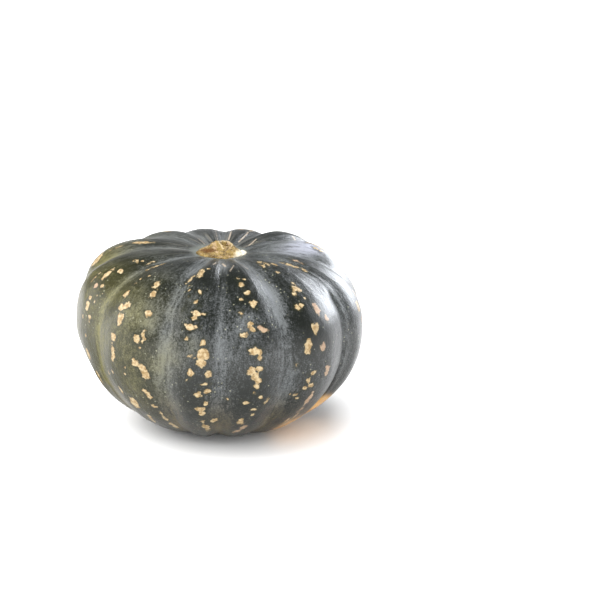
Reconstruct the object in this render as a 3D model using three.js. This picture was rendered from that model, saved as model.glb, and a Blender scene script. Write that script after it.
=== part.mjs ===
// A whole winter squash, upright on its heel: a broad ribbed fruit and the dry corky stub on top of it.
// Millimetres, +Z up, the front of the fruit toward -Y. The fruit leans a little, as a real one does when it
// settles on its own weight, and a worn flat on its underside carries it.
import * as THREE from "three";

// Overall sizes of the fruit, before it is leaned
const HALF_ACROSS = 95;
const RISE_ABOVE_WIDEST = 52;
const DROP_BELOW_WIDEST = 73;
const FLAT_OFF_BOTTOM = 3.5;
const LEAN_DEGREES = 2.2;

// Squareness of the upright outline: 2 is an ellipse, more is fuller
const UPPER_FULLNESS = 2.75;
const EXTRA_FULLNESS_AT_BACK = 0.3;
const LOWER_FULLNESS = 2.0;

// Grooves: where they run, in degrees from the front toward +X, and how deep each is beside the usual one
const GROOVE_AT = [2.5, 28.5, 58, 93, 122, 154, 181, 207, 233, 268, 305.5, 340];
const GROOVE_STRENGTH = [1, 1.1, 1.2, 1.6, 0.8, 1, 1.1, 1.1, 0.9, 0.8, 1, 1];
const GROOVE_DEPTH_SHARE = 0.036;
const GROOVE_SHARPNESS = 1.5;
const RIBS_FULL_FROM_SHARE = 0.45;

// Each rib starts at the groove of the same place in the list above and is a little fuller or thinner than
// the rest at three heights: the crown near the stub, the shoulder, and below the widest ring
const CROWN_SWELL = [0, 0, 0, 0.075, 0.05, 0, -0.01, 0, 0, 0, 0, 0];
const SHOULDER_SWELL = [0, 0, 0, -0.035, 0, 0, 0, 0.01, 0.03, 0.03, 0.02, 0];
const FOOT_SWELL = [0, 0, 0, 0, 0, 0, 0, 0, -0.01, -0.03, -0.01, 0];
const CROWN = { at: 62, spread: 20 };
const SHOULDER = { at: 38, spread: 22 };
const FOOT = { at: -20, spread: 17 };

// The hollow on top with its flat seat under the stub, and the small blossom scar below
const TOP_HOLLOW_DEPTH = 6;
const TOP_HOLLOW_RADIUS = 32;
const SEAT_HEIGHT = 47;
const SEAT_RADIUS = 17.8;
const SEAT_EDGE_RADIUS = 21.5;
const SCAR_DEPTH = 6;
const SCAR_RADIUS = 11;

// How finely the fruit is cut into facets
const FACETS_PER_RIB = 10;
const RINGS_BELOW = 18;
const RINGS_ABOVE = 17;

// The corky stub: wider than it is deep, thin at the front and lumpy toward the back, with a hollow in the lump
const STUB_GAP = 0.35;
const STUB_RADIUS = 15.4;
const STUB_HEIGHT = 3.3;
const STUB_WIDER_SHARE = 0.05;
const STUB_FRONT_SHARE = 0.04;
const STUB_LOBES = 5;
const STUB_LOBE_SHARE = 0.04;
const STUB_LOBE_AT = 85;
const STUB_WAVE_SHARE = 0.012;
const STUB_RISE_TO_BACK = 0.11;
const STUB_LUMPS = [
  { x: 0, y: 6.5, spread: 7.5, rise: 2.7 },
  { x: -8.5, y: 3.5, spread: 4.5, rise: 0.8 },
  { x: 10.5, y: -3, spread: 4.5, rise: 0.9 },
  { x: -15.5, y: 3, spread: 6, rise: -1.9 },
  { x: 15.5, y: 4, spread: 6, rise: -1.5 },
  { x: 2.8, y: 5.6, spread: 3.4, rise: -3 },
];
const STUB_FACETS = 45;

const radians = THREE.MathUtils.degToRad;

// A smooth rise that is 1 at its middle and dies away over its spread
function hill(away, spread) {
  return Math.exp(-((away / spread) ** 2));
}

// Where a facet column lies: its angle round the fruit, its rib, and how far across that rib from -1 to 1
function acrossRib(share) {
  const ribs = GROOVE_AT.length;
  const place = (share % 1) * ribs;
  const rib = Math.min(Math.floor(place + 1e-9), ribs - 1);
  const part = place - rib;
  const start = GROOVE_AT[rib];
  const next = (rib + 1) % ribs;
  const end = next === 0 ? GROOVE_AT[0] + 360 : GROOVE_AT[next];
  return { angle: start + part * (end - start), rib, next, across: 2 * part - 1 };
}

// A point of the fruit's surface, with the latitude in degrees from -90 at the bottom to 90 at the top
function fruitPoint(share, latitude) {
  const { angle, rib, next, across } = acrossRib(share);
  const upper = latitude > 0;
  const round = radians(angle);
  const tilt = radians(latitude);
  const fullness = upper ? UPPER_FULLNESS - EXTRA_FULLNESS_AT_BACK * Math.cos(round) : LOWER_FULLNESS;
  const reach = upper ? RISE_ABOVE_WIDEST : DROP_BELOW_WIDEST;
  let radius = HALF_ACROSS * Math.pow(Math.max(Math.cos(tilt), 0), 2 / fullness);
  let height = reach * Math.sign(latitude) * Math.pow(Math.abs(Math.sin(tilt)), 2 / fullness);
  if (Math.abs(latitude) === 90) radius = 0;

  const valley = Math.pow(0.5 * (1 - Math.cos(Math.PI * across)), GROOVE_SHARPNESS);
  const strength = across < 0 ? GROOVE_STRENGTH[rib] : GROOVE_STRENGTH[next];
  const fade = Math.min(radius / (RIBS_FULL_FROM_SHARE * HALF_ACROSS), 1);
  const crown = CROWN_SWELL[rib] * hill(latitude - CROWN.at, CROWN.spread);
  const shoulder = SHOULDER_SWELL[rib] * hill(latitude - SHOULDER.at, SHOULDER.spread);
  const foot = FOOT_SWELL[rib] * hill(latitude - FOOT.at, FOOT.spread);
  const swell = crown + shoulder + foot;
  const scale = 1 + fade * ((1 - valley) * swell - GROOVE_DEPTH_SHARE * strength * valley);
  radius *= scale;
  height *= scale;

  if (upper) {
    height -= TOP_HOLLOW_DEPTH * hill(radius, TOP_HOLLOW_RADIUS);
    const open = THREE.MathUtils.smoothstep(radius, SEAT_RADIUS, SEAT_EDGE_RADIUS);
    height = SEAT_HEIGHT + (height - SEAT_HEIGHT) * open;
  } else {
    height += SCAR_DEPTH * hill(radius, SCAR_RADIUS);
  }
  return new THREE.Vector3(radius * Math.sin(round), -radius * Math.cos(round), height);
}

// Leans a point and sets it on the ground; only the fruit is cut flat there
function settle(point, flat) {
  const lean = radians(LEAN_DEGREES);
  const x = point.x * Math.cos(lean) + point.z * Math.sin(lean);
  const z = -point.x * Math.sin(lean) + point.z * Math.cos(lean);
  const above = z + DROP_BELOW_WIDEST - FLAT_OFF_BOTTOM;
  return new THREE.Vector3(x, point.y, flat ? Math.max(above, 0) : above);
}

// Latitudes of the rings from the bottom pole to the top pole. The seat has two rings of its own.
function ringLatitudes() {
  const latitudes = [];
  for (let ring = 0; ring < RINGS_BELOW; ring += 1) {
    latitudes.push(-90 + (90 * ring) / RINGS_BELOW);
  }
  for (let ring = 0; ring < RINGS_ABOVE; ring += 1) {
    latitudes.push((84 * ring) / RINGS_ABOVE);
  }
  latitudes.push(83.2, 85.2, 87.6, 90);
  return latitudes;
}

// Turns a lathe of plain rings and moves each of its points to the place the given function says
function shapedLathe(rings, columns, place) {
  const profile = rings.map((height, ring) => {
    const onAxis = ring === 0 || ring === rings.length - 1;
    return new THREE.Vector2(onAxis ? 0 : 1, height);
  });
  const geometry = new THREE.LatheGeometry(profile, columns);
  geometry.rotateX(Math.PI / 2);
  const positions = geometry.getAttribute("position");
  for (let index = 0; index < positions.count; index += 1) {
    const column = Math.floor(index / rings.length) % columns;
    const point = place(column / columns, index % rings.length);
    positions.setXYZ(index, point.x, point.y, point.z);
  }
  geometry.computeVertexNormals();
  return geometry;
}

function makeFruit() {
  const latitudes = ringLatitudes();
  const columns = GROOVE_AT.length * FACETS_PER_RIB;
  return shapedLathe(latitudes, columns, (share, ring) => settle(fruitPoint(share, latitudes[ring]), true));
}

// Stub rings: how far out each lies as a share of the rim, and how high as a share of the stub's height.
// The first stay on the flat underside and the rest climb the side and cross the top.
const STUB_RINGS = [
  { out: 0, up: 0 },
  { out: 0.5, up: 0 },
  { out: 0.93, up: 0 },
  { out: 1, up: 0.16 },
  { out: 1.01, up: 0.42 },
  { out: 0.96, up: 0.68 },
  { out: 0.86, up: 0.88 },
  { out: 0.7, up: 1 },
  { out: 0.52, up: 1 },
  { out: 0.34, up: 0.93 },
  { out: 0.17, up: 0.88 },
  { out: 0, up: 0.86 },
];

function stubPoint(share, ring) {
  const round = share * Math.PI * 2;
  const { out, up } = STUB_RINGS[ring];
  const wider = -STUB_WIDER_SHARE * Math.cos(2 * round) + STUB_FRONT_SHARE * Math.cos(round);
  const lobes = STUB_LOBE_SHARE * Math.cos(STUB_LOBES * (round - radians(STUB_LOBE_AT)));
  const waves = STUB_WAVE_SHARE * (Math.cos(3 * round + 0.6) + Math.sin(8 * round));
  const radius = STUB_RADIUS * out * (1 + wider + lobes + waves);
  const x = radius * Math.sin(round);
  const y = -radius * Math.cos(round);
  let top = STUB_HEIGHT + STUB_RISE_TO_BACK * y;
  top += out * (0.4 * Math.cos(STUB_LOBES * round + 1.1) + 0.25 * Math.sin(9 * round));
  for (const lump of STUB_LUMPS) {
    top += lump.rise * hill(Math.hypot(x - lump.x, y - lump.y), lump.spread);
  }
  return new THREE.Vector3(x, y, SEAT_HEIGHT + STUB_GAP + up * top);
}

function makeStub() {
  const heights = STUB_RINGS.map((ring, index) => index);
  return shapedLathe(heights, STUB_FACETS, (share, ring) => settle(stubPoint(share, ring), false));
}

function part(name, geometry, color, roughness) {
  const material = new THREE.MeshStandardMaterial({ color, roughness, metalness: 0 });
  const mesh = new THREE.Mesh(geometry, material);
  mesh.name = name;
  return mesh;
}

const squash = new THREE.Group();
squash.name = "kabocha_squash";
squash.add(part("fruit", makeFruit(), 0x4a5245, 0.5));
squash.add(part("stem_stub", makeStub(), 0xb9975c, 0.9));

// The middle of the squash's footprint goes to the origin
const whole = new THREE.Box3().setFromObject(squash);
const middle = whole.getCenter(new THREE.Vector3());
for (const piece of squash.children) {
  piece.geometry.translate(-middle.x, -middle.y, 0);
}

export default squash;
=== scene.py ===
# %% [markdown]
# A kabocha squash, rebuilt from one photograph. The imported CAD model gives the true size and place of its
# two pieces, the ribbed fruit and the corky stub of its stalk. This script dresses them: it makes a finer
# skin for each, paints them with procedural materials, and sets up the floor, the light and the camera.

# %% Load the frame
import math
import random

import bmesh
import bpy
from mathutils import Matrix, Vector, kdtree, noise


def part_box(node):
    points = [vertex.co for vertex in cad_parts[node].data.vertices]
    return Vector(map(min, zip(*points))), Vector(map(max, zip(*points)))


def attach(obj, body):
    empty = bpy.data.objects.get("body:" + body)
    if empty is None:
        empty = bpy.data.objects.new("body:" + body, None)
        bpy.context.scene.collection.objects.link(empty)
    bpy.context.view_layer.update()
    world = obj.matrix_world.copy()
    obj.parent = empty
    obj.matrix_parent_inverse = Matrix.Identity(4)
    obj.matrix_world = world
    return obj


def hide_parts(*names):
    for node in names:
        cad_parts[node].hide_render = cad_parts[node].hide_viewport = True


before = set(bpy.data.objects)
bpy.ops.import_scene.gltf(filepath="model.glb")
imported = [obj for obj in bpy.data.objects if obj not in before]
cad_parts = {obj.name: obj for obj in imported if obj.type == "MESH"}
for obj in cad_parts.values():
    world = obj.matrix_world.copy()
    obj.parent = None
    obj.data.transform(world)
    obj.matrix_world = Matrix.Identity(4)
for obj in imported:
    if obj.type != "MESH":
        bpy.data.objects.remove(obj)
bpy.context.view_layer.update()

# %% [markdown]
# The fruit is a body of revolution that a mould of grooves has pinched. On the real squash the grooves run
# between the stalk and the blossom end, one beside each seed row inside, and the rib between two grooves
# swells outward. Its upright outline is squarer above the widest ring than below it. The sizes and angles
# are those of the CAD solid, so the fine skin lies on it, and they are given in millimetres. One groove is
# let drift a few degrees from the solid's, to where it is seen in the photograph.

# %% Driving sizes of the fruit
MM = 0.001
HALF_ACROSS = 95
RISE_ABOVE_WIDEST = 52
DROP_BELOW_WIDEST = 73
FLAT_OFF_BOTTOM = 3.5
LEAN_DEGREES = 2.2
UPPER_FULLNESS = 2.75
EXTRA_FULLNESS_AT_BACK = 0.3
LOWER_FULLNESS = 2.0

GROOVE_AT = [2.5, 28.5, 58, 93, 122, 154, 181, 207, 233, 268, 305.5, 340]
GROOVE_STRENGTH = [1, 1.1, 1.2, 1.6, 0.8, 1, 1.1, 1.1, 0.9, 0.8, 1, 1]
GROOVE_DEPTH_SHARE = 0.036
GROOVE_SHARPNESS = 1.5
DRIFTING_GROOVE = 2
DRIFT_DEGREES = 4.5
DRIFT_SPREAD = 11
RIBS_FULL_FROM_SHARE = 0.45

CROWN_SWELL = [0, 0, 0, 0.075, 0.05, 0, -0.01, 0, 0, 0, 0, 0]
SHOULDER_SWELL = [0, 0, 0, -0.035, 0, 0, 0, 0.01, 0.03, 0.03, 0.02, 0]
FOOT_SWELL = [0, 0, 0, 0, 0, 0, 0, 0, -0.01, -0.03, -0.01, 0]
CROWN = (62, 20)
SHOULDER = (38, 22)
FOOT = (-20, 17)

TOP_HOLLOW_DEPTH = 6
TOP_HOLLOW_RADIUS = 32
SEAT_HEIGHT = 47
SEAT_RADIUS = 17.8
SEAT_EDGE_RADIUS = 21.5
SCAR_DEPTH = 6
SCAR_RADIUS = 11

RIBS = len(GROOVE_AT)
print("ribs", RIBS, "across before the grooves", 2 * HALF_ACROSS, "mm")

# %% [markdown]
# Every mark on the rind follows its rib, so places are named the way a grower would point at them: which rib,
# how far across it from one groove to the next, and how high up as a latitude. One function turns such a
# place into a point of the skin. The mesh, the flecks and the scars below all use it.

# %% Places on the rind
def hill(away, spread):
    """A smooth rise that is 1 at its middle and dies away over its spread."""
    return math.exp(-((away / spread) ** 2))


def smooth_step(value, low, high):
    part = min(max((value - low) / (high - low), 0), 1)
    return part * part * (3 - 2 * part)


def rib_span(rib):
    """The turns of the two grooves beside a rib, in degrees from the front."""
    start = GROOVE_AT[rib]
    end = GROOVE_AT[(rib + 1) % RIBS] + (360 if rib == RIBS - 1 else 0)
    return start, end


def turn_at(rib, across):
    """How far round the fruit a place is, in degrees from the front."""
    start, end = rib_span(rib)
    return start + (across + 1) / 2 * (end - start)


def groove_beside(rib, across):
    """The groove that the place is nearer to."""
    return rib if across < 0 else (rib + 1) % RIBS


def from_groove(rib, across, around):
    """How far a place on a ring of that radius is from its nearer groove, in millimetres."""
    start, end = rib_span(rib)
    return (1 - abs(across)) / 2 * math.radians(end - start) * around


def skin_point(rib, across, latitude):
    """The point in millimetres at that place, with the squash settled on the ground."""
    angle = turn_at(rib, across)
    turn = math.radians(angle + DRIFT_DEGREES * hill(angle - GROOVE_AT[DRIFTING_GROOVE], DRIFT_SPREAD))
    tilt = math.radians(latitude)
    upper = latitude > 0
    fullness = UPPER_FULLNESS - EXTRA_FULLNESS_AT_BACK * math.cos(turn) if upper else LOWER_FULLNESS
    reach = RISE_ABOVE_WIDEST if upper else DROP_BELOW_WIDEST
    radius = HALF_ACROSS * max(math.cos(tilt), 0) ** (2 / fullness)
    height = math.copysign(reach * abs(math.sin(tilt)) ** (2 / fullness), latitude)

    groove = (0.5 * (1 - math.cos(math.pi * across))) ** GROOVE_SHARPNESS
    strength = GROOVE_STRENGTH[groove_beside(rib, across)]
    fade = min(radius / (RIBS_FULL_FROM_SHARE * HALF_ACROSS), 1)
    swell = CROWN_SWELL[rib] * hill(latitude - CROWN[0], CROWN[1])
    swell += SHOULDER_SWELL[rib] * hill(latitude - SHOULDER[0], SHOULDER[1])
    swell += FOOT_SWELL[rib] * hill(latitude - FOOT[0], FOOT[1])
    scale = 1 + fade * ((1 - groove) * swell - GROOVE_DEPTH_SHARE * strength * groove)
    radius *= scale
    height *= scale
    if upper:
        height -= TOP_HOLLOW_DEPTH * hill(radius, TOP_HOLLOW_RADIUS)
        seat_edge = smooth_step(radius, SEAT_RADIUS, SEAT_EDGE_RADIUS)
        height = SEAT_HEIGHT + (height - SEAT_HEIGHT) * seat_edge
    else:
        height += SCAR_DEPTH * hill(radius, SCAR_RADIUS)
    return settled(radius * math.sin(turn), -radius * math.cos(turn), height, flat=True)


def settled(x, y, z, flat=False):
    """Leans a point with the fruit and sets it on the ground, where only the fruit is worn flat."""
    lean = math.radians(LEAN_DEGREES)
    above = -x * math.sin(lean) + z * math.cos(lean) + DROP_BELOW_WIDEST - FLAT_OFF_BOTTOM
    return Vector((x * math.cos(lean) + z * math.sin(lean), y, max(above, 0) if flat else above))


print("front of the widest ring", [round(v, 1) for v in skin_point(11, 0.9, 0)], "mm")

# %% [markdown]
# The CAD solid of the fruit has flat facets. The skin that is seen starts as a sphere of fine quads, whose
# poles sit at the stub and at the blossom end. Each point of the sphere is moved to its place on the rind, so
# columns of quads run along the ribs and rings run across them. A sphere is a better start than a grid here,
# because it is already closed. Three small shapes go beyond the solid: a narrow crease in the bottom of most
# grooves, a fill where a groove runs shallow, and a gentle unevenness, since no grown thing is quite smooth.

# %% Make the fruit's skin
COLUMNS_PER_RIB = 40
RINGS = 200
DENT_SIZE_MM = 26
DENT_DEPTH_MM = 0.55
RIPPLE_SIZE_MM = 8
RIPPLE_DEPTH_MM = 0.14
CREASE_HALF_WIDTH_MM = 2
CREASE_DEPTHS_MM = [0, 0.5, 1.6, 1.4, 0.8, 0.8, 0.8, 0.8, 0.6, 0.4, 0.3, 0.2]
SHALLOW_GROOVE = 2
SHALLOW_HALF_WIDTH_MM = 8
SHALLOW_BY_MM = 2.2
FILLED_LOW_BY_MM = [1.5, 2, 3.4, 2, 1.5, 1.5, 1.5, 1.5, 1.5, 1.5, 1.5, 1.5]
FILLED_LOW_HALF_WIDTH_MM = 10
CREASE_LOST_ON_SHOULDER = 0.8
ON_SHOULDER = (26, 42)
LOW_ON_FRUIT = (28, 48)
CLEAR_OF_GROUND_MM = (1, 8)
CLEAR_OF_STUB_MM = (24, 50)
CALM_TO_UNEVEN_FROM_STUB_MM = (22, 34)
CALM_TO_UNEVEN_FROM_GROUND_MM = (0, 12)
OUTWARD_RISE_SHARE = 0.6
ROUNDING = 1e-4


def place_on_sphere(point):
    """The rib, the share across it and the latitude of a point of the unit sphere."""
    latitude = math.degrees(math.asin(max(-1, min(1, point.z))))
    share = math.atan2(point.x, -point.y) / math.tau % 1
    spot = share * RIBS
    rib = int(spot + ROUNDING) % RIBS
    across = 2 * (spot - int(spot + ROUNDING)) - 1
    return rib, across, latitude


def crease(rib, across, latitude, point):
    """How far the narrow bottom of a groove lies below its broad sides, in millimetres.

    All grooves are filled a little low on the fruit, and one of them on the shoulder too. Where the fill is
    the thicker of the two, the number goes below zero.
    """
    groove = groove_beside(rib, across)
    around = math.hypot(point.x, point.y)
    away = from_groove(rib, across, around)
    on_shoulder = smooth_step(latitude, *ON_SHOULDER)
    clear_of_stub = smooth_step(around, *CLEAR_OF_STUB_MM)
    depth = CREASE_DEPTHS_MM[groove] * hill(away, CREASE_HALF_WIDTH_MM)
    depth *= 1 - CREASE_LOST_ON_SHOULDER * on_shoulder
    down_low = smooth_step(-latitude, *LOW_ON_FRUIT) * smooth_step(point.z, *CLEAR_OF_GROUND_MM)
    depth -= FILLED_LOW_BY_MM[groove] * hill(away, FILLED_LOW_HALF_WIDTH_MM) * down_low
    if groove == SHALLOW_GROOVE:
        depth -= SHALLOW_BY_MM * hill(away, SHALLOW_HALF_WIDTH_MM) * on_shoulder
    return depth * clear_of_stub


def uneven(point):
    """Soft dents and small ripples, none of them on the seat of the stub or on the ground."""
    dents = noise.noise(point / DENT_SIZE_MM) * DENT_DEPTH_MM
    ripples = noise.noise(point / RIPPLE_SIZE_MM) * RIPPLE_DEPTH_MM
    off_stub = smooth_step(math.hypot(point.x, point.y), *CALM_TO_UNEVEN_FROM_STUB_MM)
    off_ground = smooth_step(point.z, *CALM_TO_UNEVEN_FROM_GROUND_MM)
    return (dents + ripples) * (off_stub * off_ground)


skin = bmesh.new()
bmesh.ops.create_uvsphere(skin, u_segments=RIBS * COLUMNS_PER_RIB, v_segments=RINGS, radius=1)
places = []
for vertex in skin.verts:
    rib, across, latitude = place_on_sphere(vertex.co)
    places.append((rib, across, latitude))
    outward = Vector((vertex.co.x, vertex.co.y, OUTWARD_RISE_SHARE * vertex.co.z))
    point = skin_point(rib, across, latitude)
    vertex.co = point + outward * (uneven(point) - crease(rib, across, latitude, point))
bmesh.ops.recalc_face_normals(skin, faces=skin.faces)
print("skin points", len(skin.verts), "faces", len(skin.faces))

# %% [markdown]
# The skin has to stand where the CAD solid stands. The two boxes are compared, and the skin is moved so that
# their middles agree. Only the millimetres become metres, and nothing is stretched to fit, because both come
# from the same sizes. What is left between them are the drifted groove, the creases and the fills.

# %% Set the skin over the solid
low, high = [Vector(corner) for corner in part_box("fruit")]
middle = (low + high) / 2
skin_low = [min(vertex.co[axis] for vertex in skin.verts) for axis in range(3)]
skin_high = [max(vertex.co[axis] for vertex in skin.verts) for axis in range(3)]
shift = Vector([middle[axis] - (skin_low[axis] + skin_high[axis]) / 2 * MM for axis in (0, 1)] + [0])
to_frame = Matrix.Translation(shift) @ Matrix.Scale(MM, 4)
bmesh.ops.transform(skin, matrix=to_frame, verts=skin.verts)
print("shift in mm", [round(v / MM, 3) for v in shift])
print("top of the skin above the solid's in mm", round(skin_high[2] - high.z / MM, 3))


def finished_piece(name, built, body, node):
    """Turns a bmesh into a smooth object that stands for a CAD node and rides on its body."""
    mesh = bpy.data.meshes.new(name)
    built.to_mesh(mesh)
    built.free()
    mesh.polygons.foreach_set("use_smooth", [True] * len(mesh.polygons))
    piece = bpy.data.objects.new(name, mesh)
    bpy.context.collection.objects.link(piece)
    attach(piece, body)
    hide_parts(node)
    return piece


fruit = finished_piece("squash_skin", skin, "root", "fruit")
print("fruit size in mm", [round(v / MM, 1) for v in fruit.dimensions])

# %% [markdown]
# The rind carries cream flecks where the skin split a little as it grew and healed. On this squash they
# gather in a column along the crest of each rib. The ones that face the front are listed one by one: how far
# across the rib, the latitude, the width and the height in millimetres, a lean in degrees where it has one,
# and a last 1 where it is rosy. The ribs behind get flecks of the same kinds from a seeded shuffle.

# %% Flecks on the front ribs
# for each rib: across, latitude, width, height, and where needed lean and rosy
FRONT_FLECKS = {
    8: [(0.4, 50, 1.5, 8), (-0.1, 66, 1.4, 5)],
    9: [
        (0.38, 41, 3.6, 10), (0.42, 36.3, 2.4, 3), (0.56, 47, 4.6, 3.6), (0.15, 33.5, 1.6, 9),
        (0.4, 31, 3, 3.6, 0, 1), (0.56, 32.5, 1.6, 1.8), (0.35, 56.5, 2.6, 2.2), (0.45, 58, 2.2, 1.8),
        (0.5, 60, 1.8, 1.6), (0.75, 62, 2, 5), (0.62, 25, 1.4, 1.6), (0.7, 28, 1.4, 1.4),
        (0.45, 16, 4, 6.5), (0.43, 21.5, 1.8, 2.4), (0.62, 21, 1.6, 2), (0.62, 9, 3, 4),
        (0.35, 7.5, 1.6, 1.8), (0.46, 0, 1.8, 3), (0.4, -11.5, 4.5, 8), (0.5, -24, 4, 10), (0.2, -30, 3, 9),
    ],
    10: [
        (0.28, 47, 3.6, 8, 14), (0.38, 40, 3, 6, 20), (-0.42, 35, 5.6, 6), (-0.16, 28, 5.4, 4.6, -20),
        (-0.3, 26, 5.6, 4, -20), (-0.2, 18, 5.6, 7.4), (0.48, 26.5, 5, 4), (-0.42, 43.5, 2.4, 2.4),
        (-0.4, 47.5, 1.8, 1.8), (-0.25, 51.5, 1.8, 1.8), (-0.8, 61.5, 2.6, 12), (-0.32, 6, 4.6, 5.4),
        (-0.36, 2.5, 1.4, 1.6), (-0.3, -1, 4, 7.5), (-0.36, -4.5, 2.2, 4), (0.36, 8.5, 4.6, 6.5),
        (0.5, 11, 2.6, 6), (0.44, 4.5, 1.8, 1.8), (0.33, -3, 5, 5.6), (0.5, -5, 4, 5),
        (0.56, -8.6, 5, 8, -18), (0.03, -7, 1.6, 1.6), (0, -11, 1.6, 1.8), (-0.47, -12.5, 1.4, 4.5),
        (-0.7, -15, 1.6, 4), (-0.38, -24, 2.4, 6.5), (0.46, -18.5, 3, 4), (0.52, -22, 3.8, 6, -12),
        (0.55, -29.5, 2.8, 6, -20), (-0.07, -30, 7.5, 11, 10), (0.64, -35, 2.2, 3.4),
        (0.68, -40, 2.6, 9, -20), (0.15, -42, 3, 14, 10), (0.75, -49, 3, 14, -10),
    ],
    11: [
        (-0.42, 63, 4, 13, -18), (-0.83, 57.5, 1.8, 6.5), (-0.02, 46.5, 2.8, 3), (-0.68, 51.5, 1.4, 1.6),
        (-0.57, 47.5, 1.6, 1.6), (-0.47, 42.5, 1.4, 1.4), (-0.02, 67.5, 1.8, 2.6), (-0.08, 39, 2, 2),
        (0.08, 35.5, 1.6, 2), (0.05, 31, 6, 4.2), (0.03, 28.5, 3.4, 5), (0.3, 31.3, 3, 2),
        (-0.5, 33, 1.6, 1.6), (-0.1, 22, 6, 4.6), (0.06, 22.3, 2.6, 1.6), (-0.18, 14, 2.2, 1.6),
        (0.38, 12.3, 3.6, 4), (0.4, 5.5, 7.8, 8), (0.36, 1.5, 6, 6), (0.05, 4, 4.5, 1.5),
        (0, -3.5, 3.8, 5.4), (-0.08, -7.5, 1.6, 1.8), (0.62, -4.5, 4, 4.6), (0.48, -9.8, 4.3, 2.2),
        (0.57, -14, 4, 3.8), (0.25, -15.5, 4.4, 4), (0.5, -21.5, 3.8, 4, 30), (0.3, -25, 6, 4.8),
        (0.34, -28.5, 5, 6), (0.8, -36.5, 3.4, 5.5), (0.34, -36, 2.4, 6, -15), (0.45, -43, 3.6, 12, -20),
    ],
    0: [
        (0.07, 57.5, 1.6, 1.8), (-0.25, 58.5, 1.6, 2), (-0.15, 53.5, 3.4, 5), (0, 46.5, 3.8, 4.8),
        (-0.3, 42, 2.8, 2.4), (0.12, 39.5, 4, 4), (0.1, 36.8, 3, 4), (-0.38, 32, 2.2, 2.8),
        (-0.12, 25, 4.4, 3.4), (-0.08, 21.3, 3.8, 3.8), (0.27, 21, 5.6, 4.2, 15, 1),
        (-0.33, 18, 4, 3.4), (-0.05, 8, 5.6, 4.6), (0.1, 7.4, 4, 4), (0.12, 3.6, 3.4, 2.8),
        (-0.1, -2, 6, 5.4), (0.1, -1.2, 5, 3.2), (0, -4.8, 5, 4.6), (0.1, -7, 4.6, 3.6),
        (0.07, -10.5, 3.6, 3), (0.03, -14, 2, 2.2), (0.25, -17.3, 2.8, 2.6), (0.5, -20.5, 2.4, 5, 30),
        (-0.2, -20, 4.6, 3), (0.15, -25.5, 3.6, 2.6, 20), (0.12, -29, 2.6, 2.6), (-0.22, -35, 3.8, 6.5),
        (-0.05, -41, 3.4, 9, 20, 1), (-0.2, -46, 3.4, 9, 20, 1), (-0.75, -19, 1.4, 1.4),
    ],
    1: [
        (-0.1, 45.5, 4.4, 5), (-0.28, 42, 3, 3.6), (-0.02, 44, 3, 4), (0, 49.5, 1.8, 3),
        (-0.05, 37.5, 1.6, 1.6), (-0.42, 32.3, 4, 4.2), (-0.3, 32.8, 3, 3), (0.12, 28, 4.6, 8, 0, 1),
        (0.3, 20.5, 3, 5, 0, 1), (-0.12, 17, 5.4, 5), (-0.14, 14.4, 3.6, 4), (-0.38, 7.5, 5.2, 6),
        (-0.42, 4.3, 3.6, 4.6), (0.04, 4.4, 4.6, 5, 0, 1), (-0.68, -2, 2, 2), (0.24, -8, 4, 8, 0, 1),
        (-0.22, -7.5, 4.8, 2.8), (-0.32, -11, 3, 3.6, 20), (-0.16, -14.5, 4.8, 3.4), (-0.32, -15.8, 4.4, 3),
        (-0.58, -19.5, 3.4, 1.8), (-0.45, -22, 1.8, 1.8), (-0.05, -24, 4, 11, 10, 1),
        (-0.1, -31, 2.6, 6, 10, 1), (-0.05, -38, 2.8, 9, 0, 1), (-0.25, -41, 2.4, 7, 10, 1),
        (-0.12, 60, 2.4, 2.8), (-0.1, 72, 1.6, 6), (0.05, 70, 1.6, 5), (-0.3, 68, 1.3, 5),
        (0.3, 67, 1.4, 4), (0.93, 65.5, 1.8, 5),
    ],
    2: [
        (-0.95, 63.5, 2, 6), (-0.85, 56, 2.2, 6), (-0.9, 60, 1.2, 5), (-0.3, 64, 1.8, 8, 0, 1),
        (0.1, 8, 2.4, 5, 0, 1), (0.35, 7, 1.8, 4, 0, 1),
    ],
}
print("flecks set by hand", sum(len(on_rib) for on_rib in FRONT_FLECKS.values()))

# %% [markdown]
# A shuffle with a fixed seed gives the same flecks at every run. Most are small, and the few near the top are
# narrower and longer, because the rind has stretched toward the stub there.

# %% Flecks on the ribs behind
SHUFFLE_SEED = 12
SHUFFLED_RIBS = {2: 8, 3: 20, 4: 20, 5: 20, 6: 20, 7: 20, 8: 14}
SMALLEST_WIDTH_MM = 1.6
WIDTH_RANGE_MM = 5.4
TALLER_AT_LEAST = 0.8
TALLER_RANGE = 1.1
LATITUDE_RANGE = (-55, 64)
STRETCHED_ABOVE = 50
STRETCHED_WIDTH_SHARE = 0.6
STRETCHED_HEIGHT_SHARE = 2
ROSY_CHANCE = 0.15
FARTHEST_FROM_CREST = 0.8
CREST_SPREAD = 0.28
MOST_LEAN_DEGREES = 15

shuffle = random.Random(SHUFFLE_SEED)


def shuffled_fleck():
    """One fleck for a rib behind: near the crest, small more often than large, mostly taller than wide."""
    wide = SMALLEST_WIDTH_MM + WIDTH_RANGE_MM * shuffle.random() ** 2
    tall = wide * (TALLER_AT_LEAST + TALLER_RANGE * shuffle.random())
    latitude = shuffle.uniform(*LATITUDE_RANGE)
    if latitude > STRETCHED_ABOVE:
        wide *= STRETCHED_WIDTH_SHARE
        tall *= STRETCHED_HEIGHT_SHARE
    rosy = 1 if shuffle.random() < ROSY_CHANCE else 0
    across = max(-FARTHEST_FROM_CREST, min(FARTHEST_FROM_CREST, shuffle.gauss(0, CREST_SPREAD)))
    return across, latitude, wide, tall, shuffle.uniform(-MOST_LEAN_DEGREES, MOST_LEAN_DEGREES), rosy


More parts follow.
